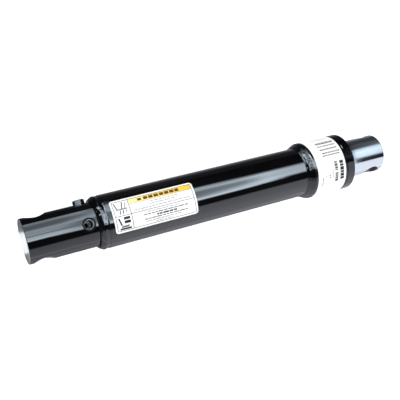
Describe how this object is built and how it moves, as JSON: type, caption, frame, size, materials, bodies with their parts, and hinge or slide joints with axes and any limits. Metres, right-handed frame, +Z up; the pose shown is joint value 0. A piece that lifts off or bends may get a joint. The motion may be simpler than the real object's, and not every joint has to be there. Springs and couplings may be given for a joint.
{
  "type": "telescopic hydraulic cylinder",
  "caption": "Closed telescopic hydraulic cylinder with a round base eye, welded barrel, sleeve stage, chromed plunger with rod eye, and threaded oil port.",
  "frame": {"origin": "centre of the base pin hole, on the cylinder's axis", "axes": "+X along the cylinder's axis towards the rod eye, +Y along the base pin hole, +Z up, the way the oil port opens"},
  "size_m": [0.584, 0.0892, 0.089],
  "materials": {
    "black_paint": "gloss",
    "painted_weld": "gloss",
    "plug_steel": "black oxide",
    "screw_steel": "black oxide",
    "seal_rubber": "matt",
    "seal_polyurethane": "satin",
    "bearing_nylon": "matt",
    "machined_steel": "machined",
    "ground_steel": "ground",
    "chrome": "hard chrome, polished",
    "label": "coated"
  },
  "bodies": {
    "barrel": {"base_end": "black_paint", "barrel_tube": "black_paint", "base_weld": "painted_weld", "bleed_plug": "plug_steel", "bleed_plug_oring": "seal_rubber", "head_collar": "black_paint", "head_weld": "painted_weld", "gland_bush": "machined_steel", "gland_oring": "seal_rubber", "sleeve_guide_ring": "bearing_nylon", "sleeve_seal": "seal_polyurethane", "sleeve_wiper": "seal_polyurethane", "gland_lock_screw": "screw_steel", "barrel_label": "label", "collar_label": "label"},
    "sleeve": {"sleeve_tube": "ground_steel", "sleeve_bottom_bearing": "bearing_nylon", "sleeve_stop_ring": "machined_steel", "plunger_rest_ring": "machined_steel", "sleeve_head": "black_paint", "sleeve_head_oring": "seal_rubber", "sleeve_head_lock_screw": "screw_steel", "plunger_guide_ring": "bearing_nylon", "plunger_seal": "seal_polyurethane", "plunger_wiper": "seal_polyurethane"},
    "plunger_foot": {"plunger_bottom_bearing": "bearing_nylon"},
    "plunger": {"plunger": "chrome", "plunger_stop_ring": "machined_steel"}
  },
  "joints": [
    {"name": "sleeve_slide", "type": "slide", "parent": "barrel", "child": "sleeve", "axis": [1, 0, 0], "range_m": [0, 0.3048]},
    {"name": "plunger_slide", "type": "slide", "parent": "sleeve", "child": "plunger_foot", "axis": [1, 0, 0], "range_m": [0, 0.3048]},
    {"name": "plunger_turn", "type": "hinge", "parent": "plunger_foot", "child": "plunger", "pos_m": [0.5425, 0, 0], "axis": [1, 0, 0], "continuous": true}
  ]
}
